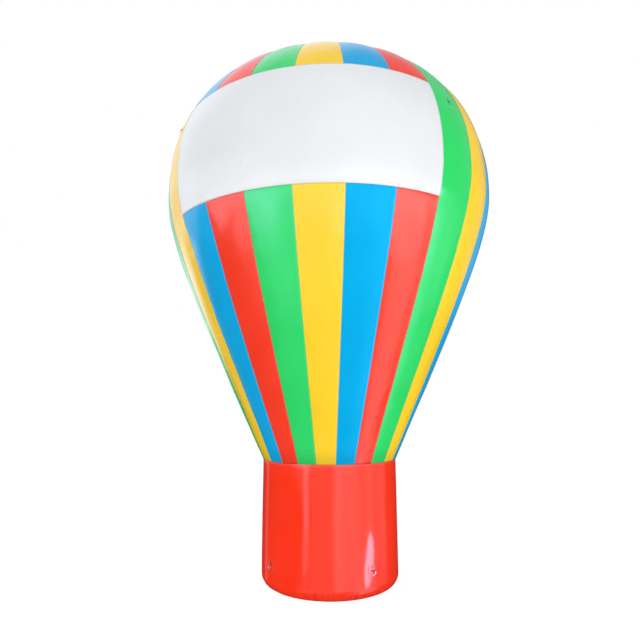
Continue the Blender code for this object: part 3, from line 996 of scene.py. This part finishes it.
def sleeve_hem():
    """The webbing sewn round the sleeve's mouth."""
    build = Build()
    middle, reach = SLEEVE_END_Y - HEM_LENGTH / 2.0, SLEEVE_RADIUS + 0.0012
    turns = round_turns(144)
    waves = 0.0008 * np.sin(5.0 * turns) + 0.0006 * np.sin(11.0 * turns + 1.0)
    path = inlet_point(turns, reach + waves, middle + waves)
    section = strap_section(HEM_LENGTH - 0.002, 0.0022, 0.0006)
    build.sweep(Matrix(), path, (0.0, 1.0, 0.0), section, closed=True)
    for offset in (-0.018, 0.018):
        for i, turn in enumerate(turns):
            ends = np.array([turn, turns[(i + 1) % len(turns)]])
            start, end = inlet_point(ends, reach + 0.0013 + waves[i], middle + offset)
            out = Vector((math.sin(turn), 0.0, math.cos(turn)))
            build.stitches(Vector(start), Vector(end), out, 0.0066, 0.00045)
    materials = (BLACK_WEBBING, THREAD_WHITE)
    build.add_to_scene("webbing_sleeve_hem", materials, ["sleeve_hem"])


inlet_sleeve()
inlet_collar()
sleeve_hem()


# Deflation zip


def zip_tape():
    """The zip's woven tape on the wall, its edge sewn down, with rounded ends."""
    half = ZIP_WIDTH / 2.0
    low, high = arc_at(ZIP_LOW_Z), arc_at(ZIP_HIGH_Z)
    length, tip = high - low, np.linspace(0.0, half, 9)[:-1]
    v = np.concatenate([tip, np.linspace(half, length - half, 40), length - tip[::-1]])
    end = np.minimum(v, length - v)
    wide = np.where(end < half, np.sqrt(np.maximum(half**2 - (half - end) ** 2, 0.0)) + 0.0005, half)
    u = wide[:, None] * np.array([[-1.0, -0.97, -0.85, -0.5, -0.2, 0.0, 0.2, 0.5, 0.85, 0.97, 1.0]])
    s = low + v[:, None] + 0.0 * u
    angle = math.radians(ZIP_ANGLE) + u / radius_at(s)
    hem = np.minimum(wide[:, None] - np.abs(u), end[:, None])
    lift = 0.003 * ramp(hem, -0.0002, 0.001) + 0.0004 * (1.0 - ramp(np.abs(u), 0.003, 0.007))
    mesh = mesh_of("zip_tape", skin_points(angle, s, lift), grid_faces(*u.shape), hem=hem, along=s)
    piece = add_piece("zip_tape", mesh, [ZIP_TAPE], ["zip_strip"])
    declare_film(piece, low + v, 2.0 * wide, "film_base_wall")


def zip_teeth():
    """Two rows of moulded teeth that mesh along the middle of the tape."""
    build = Build()
    low, high = ZIP_LOW_Z + 0.014, ZIP_HIGH_Z - 0.014
    for i in range(int((high - low) / TOOTH_PITCH)):
        for side in (-1, 1):
            z = low + (i + 0.25 * (1 + side)) * TOOTH_PITCH
            place = skin_frame(ZIP_ANGLE, z) @ Matrix.Translation((side * 0.0016, 0.0, 0.0044))
            build.box(place, TOOTH_SIZE, 0.0004)
    build.add_to_scene("zip_teeth", [ZIP_PLASTIC])


def slider_plate(build, place, low, high):
    """One of the slider's two wedge-shaped plates, with a rim that is cut back."""
    rim = [(0.0065, 0.016), (0.008, 0.006), (0.0055, -0.010), (0.005, -0.016)]
    rim = [(-0.0065, 0.016), *rim, *[(-x, y) for x, y in rim[:0:-1]]]
    inner = [(x * 0.93, y * 0.96) for x, y in rim]
    layers = [(inner, low), (rim, low + 0.0003), (rim, high - 0.0003), (inner, high)]
    points = [place @ Vector((x, y, n)) for loop, n in layers for x, y in loop]
    count = len(rim)
    faces = [list(range(count)), [3 * count + k for k in range(count - 1, -1, -1)]]
    for layer, k in product(range(3), range(count)):
        this, n = layer * count, (k + 1) % count
        faces.append((this + n, this + k, this + count + k, this + count + n))
    build.add(points, faces)


def zip_slider():
    """The slider: two plates on a post, their bridge, and the puller that hangs from it."""
    build = Build()
    place = skin_frame(ZIP_ANGLE, SLIDER_Z)
    slider_plate(build, place, 0.0036, 0.0048)
    slider_plate(build, place, 0.0066, 0.008)
    build.box(place @ Matrix.Translation((0.0, 0.010, 0.0057)), (0.0045, 0.008, 0.002), 0.0004)
    bridge = [(0.0095, 0.0078), (0.009, 0.0108), (0.006, 0.0122)]
    bridge += [(-0.001, 0.0122), (-0.004, 0.0108), (-0.0045, 0.0078)]
    bridge = [(0.0, y, n) for y, n in bridge]
    build.sweep(place, bridge, (1.0, 0.0, 0.0), strap_section(0.004, 0.0014, 0.0003))
    tab = []
    for turn in round_turns(24):
        stretch = 0.010 if math.sin(turn) < 0 else 0.0
        tab.append((0.0062 * math.cos(turn), -0.0085 - stretch + 0.008 * math.sin(turn), 0.0))
    seat = place @ Matrix.Translation((0.0, 0.0, 0.010)) @ Matrix.Rotation(math.radians(4.0), 4, "X")
    build.sweep(seat, tab, (0.0, 0.0, 1.0), strap_section(0.0018, 0.0026, 0.0004), closed=True)
    build.add_to_scene("zip_slider_and_puller", [ZIP_METAL], ["zip_slider"])


zip_tape()
zip_teeth()
zip_slider()


# Stage and light

SKY = 0.82
SKY_LEFT = 0.28
SKY_TOP = 0.16
SKY_GLOSS = 0.55
SKY_GLOSS_LEFT = 0.42
SKY_GLOSS_BACK = 0.12
GROUND = 0.03
HORIZON_FADE = 2.0
GLOSS_LIGHT = (0.95, 1.0, 1.10)
GLOWS = (
    # degrees: middle azimuth, half width, side fade, full elevation from and to, fade; strength
    (4, 20, 10, -30, -4, 10, 0.60),
    (42, 16, 14, -18, -4, 10, 1.60),
    (-29.5, 0.8, 7.5, -11.5, -5, 7, 2.7),
    (-31, 9, 13, -34, -20, 3, 0.8),
    (74, 13, 13, -48, -22, 6, 1.9),
    (77, 6, 8, -15, -3, 5, 0.6),
    (-121, 1.5, 5, -17, -5, 4, 0.45),
    (-70, 25, 20, 4, 16, 8, 0.9),
    (92, 16, 16, -13, -4, 9, 0.8),
    (-140, 30, 25, 26, 66, 20, 0.38),
    (-138, 18, 14, -3, 8, 3, 0.8),
    (178, 16, 16, -5, 30, 20, -0.42),
    (-153, 7, 12, 9, 36, 6, -0.60),
)
CARDS = (
    # azimuth in degrees, distance, lowest and highest point, width, radiance
    (-58, 8.5, 2.0, 3.4, 3.2, 3.0),
    (-37, 8.5, 2.0, 3.4, 3.2, 3.3),
    (-16, 8.5, 2.0, 3.4, 3.2, 1.7),
    (5, 8.5, 2.0, 3.4, 3.2, 1.3),
    (26, 8.5, 2.0, 3.4, 3.2, 2.0),
    (-34, 8.5, 0.4, 1.9, 4.6, 2.5),
    (0, 8.5, 0.4, 1.9, 5.2, 0.8),
    (33, 8.5, 0.4, 1.9, 4.6, 1.2),
    (56, 5.0, 1.1, 3.3, 4.0, 1.5),
    (55, 5.0, 2.3, 3.3, 3.3, 1.1),
    (55, 5.0, 2.45, 3.3, 2.8, 2.2),
)
STRIP_PLACE = (0.954, -0.605, 0.16)
STRIP_SIZE = (0.23, 0.52)
STRIP_TURN = 75.0
STRIP_TILT = -20.0
STRIP_RADIANCE = 7.6
STRIP_COLOUR = (0.95, 1.0, 1.43)
FRONT_PLACE = (4.0, -7.0, 2.0)
FRONT_TARGET = (0.0, 0.0, 2.2)
FRONT_SIZE = (4.5, 4.5)
FRONT_POWER = 87.0
FLOOR_REACH = 400.0
FLOOR_TONE = 0.45
FLOOR_LIGHT = 0.68
FLOOR_SLOPE = 0.09
SHOWN_FLOOR_TONE = 0.12
SHOWN_FLOOR_LIGHT = 0.93


def make_stage():
    """A pale floor that gives off a little light, like a lit white sweep."""
    corners = [(x * FLOOR_REACH, y * FLOOR_REACH, 0.0) for x, y in SQUARE]
    mesh = bpy.data.meshes.new("floor")
    mesh.from_pydata(corners, [], [(0, 1, 2, 3)])
    floor = new_object("floor", mesh)
    nodes = Nodes("floor")
    seen = nodes.add("ShaderNodeLightPath").outputs["Is Camera Ray"]
    side = nodes.add("ShaderNodeSeparateXYZ", {"Vector": nodes.place()}).outputs["X"]
    spread = 4.0 * FLOOR_SLOPE
    light = nodes.ramp(side, -4.0, 4.0, FLOOR_LIGHT - spread, FLOOR_LIGHT + spread)
    tone = nodes.mix(seen, (FLOOR_TONE,) * 3, (SHOWN_FLOOR_TONE,) * 3)
    light = nodes.mix(seen, light, (SHOWN_FLOOR_LIGHT,) * 3)
    nodes.set(Base_Color=tone, Roughness=0.9, Specular_IOR_Level=0.0)
    nodes.set(Emission_Color=light, Emission_Strength=1.0)
    mesh.materials.append(nodes.owner)
    floor.visible_glossy = False


def make_world():
    """A white backdrop, a soft pale sky, and soft glows near the horizon for the film to reflect."""
    nodes = Nodes("world", bpy.data.worlds, "Background")
    ray = nodes.add("ShaderNodeTexCoord").outputs["Generated"]
    parts = nodes.add("ShaderNodeSeparateXYZ", {"Vector": ray}).outputs
    degrees = 180.0 / math.pi
    turn = nodes.math("ARCTAN2", parts["X"], nodes.times(parts["Y"], -1.0))
    azimuth = nodes.times(turn, degrees)
    elevation = nodes.times(nodes.math("ARCSINE", parts["Z"]), degrees)
    above = nodes.ramp(elevation, -HORIZON_FADE, 0.0)
    left = nodes.times(parts["X"], -SKY_GLOSS_LEFT)
    back = nodes.times(parts["Y"], SKY_GLOSS_BACK)
    sky = nodes.plus(nodes.plus(left, back), SKY_GLOSS)
    gloss = nodes.times(above, sky)
    for middle, half, side_fade, low, high, fade, strength in GLOWS:
        away = nodes.math("WRAP", nodes.math("SUBTRACT", azimuth, middle), 180.0, -180.0)
        away = nodes.math("ABSOLUTE", away)
        across = nodes.soft_ramp(away, half, half + side_fade, strength, 0.0)
        away = nodes.math("ABSOLUTE", nodes.math("SUBTRACT", elevation, (low + high) / 2.0))
        half = (high - low) / 2.0
        upright = nodes.soft_ramp(away, half, half + fade, 1.0, 0.0)
        gloss = nodes.plus(gloss, nodes.times(across, upright))
    gloss = {"Vector": GLOSS_LIGHT, "Scale": nodes.math("MAXIMUM", gloss, GROUND)}
    gloss = nodes.add("ShaderNodeVectorMath", gloss, operation="SCALE").outputs[0]
    path = nodes.add("ShaderNodeLightPath").outputs
    diffuse = nodes.plus(SKY, nodes.times(parts["X"], -SKY_LEFT))
    top = nodes.times(nodes.math("MAXIMUM", parts["Z"], 0.0), SKY_TOP)
    shown = nodes.mix(path["Is Glossy Ray"], nodes.plus(diffuse, top), gloss)
    shown = nodes.mix(path["Is Camera Ray"], shown, WHITE)
    nodes.set(Color=shown)
    bpy.context.scene.world = nodes.owner


def make_light(name, place, target, size, power, gloss=None, tilt=0.0):
    """A soft light. With a gloss colour it only shows in the film's gloss, otherwise not there."""
    data = bpy.data.lights.new(name, "AREA")
    data.shape = "RECTANGLE"
    data.size, data.size_y = size
    data.energy = power
    light = new_object(name, data)
    light.location = place
    light.rotation_mode = "QUATERNION"
    aim = (Vector(target) - Vector(place)).to_track_quat("-Z", "Y")
    light.rotation_quaternion = aim @ Quaternion((0.0, 0.0, 1.0), math.radians(tilt))
    data.color = gloss or WHITE
    light.visible_camera = False
    light.visible_glossy = gloss is not None
    light.visible_diffuse = gloss is None
    return light


def make_card(name, azimuth, distance, low, high, width, radiance):
    """A glowing upright card, so placed that the envelope reflects it and the base doesn't."""
    turn = math.radians(azimuth)
    middle = (low + high) / 2.0
    place = (distance * math.sin(turn), -distance * math.cos(turn), middle)
    power = radiance * math.pi * width * (high - low)
    make_light(name, place, (0.0, 0.0, middle), (width, high - low), power, GLOSS_LIGHT)


def make_strip():
    """A small oval light beside the base, for the highlight on its right side."""
    turn = math.radians(STRIP_TURN)
    target = Vector(STRIP_PLACE) - Vector((math.sin(turn), -math.cos(turn), 0.0))
    power = STRIP_RADIANCE * math.pi**2 / 4.0 * STRIP_SIZE[0] * STRIP_SIZE[1]
    strip = make_light("strip", STRIP_PLACE, target, STRIP_SIZE, power, STRIP_COLOUR, STRIP_TILT)
    strip.data.shape = "ELLIPSE"


make_stage()
make_world()
make_light("front", FRONT_PLACE, FRONT_TARGET, FRONT_SIZE, FRONT_POWER)
for index, card in enumerate(CARDS):
    make_card(f"card_{index}", *card)
make_strip()
bpy.context.scene.view_settings.view_transform = "Standard"
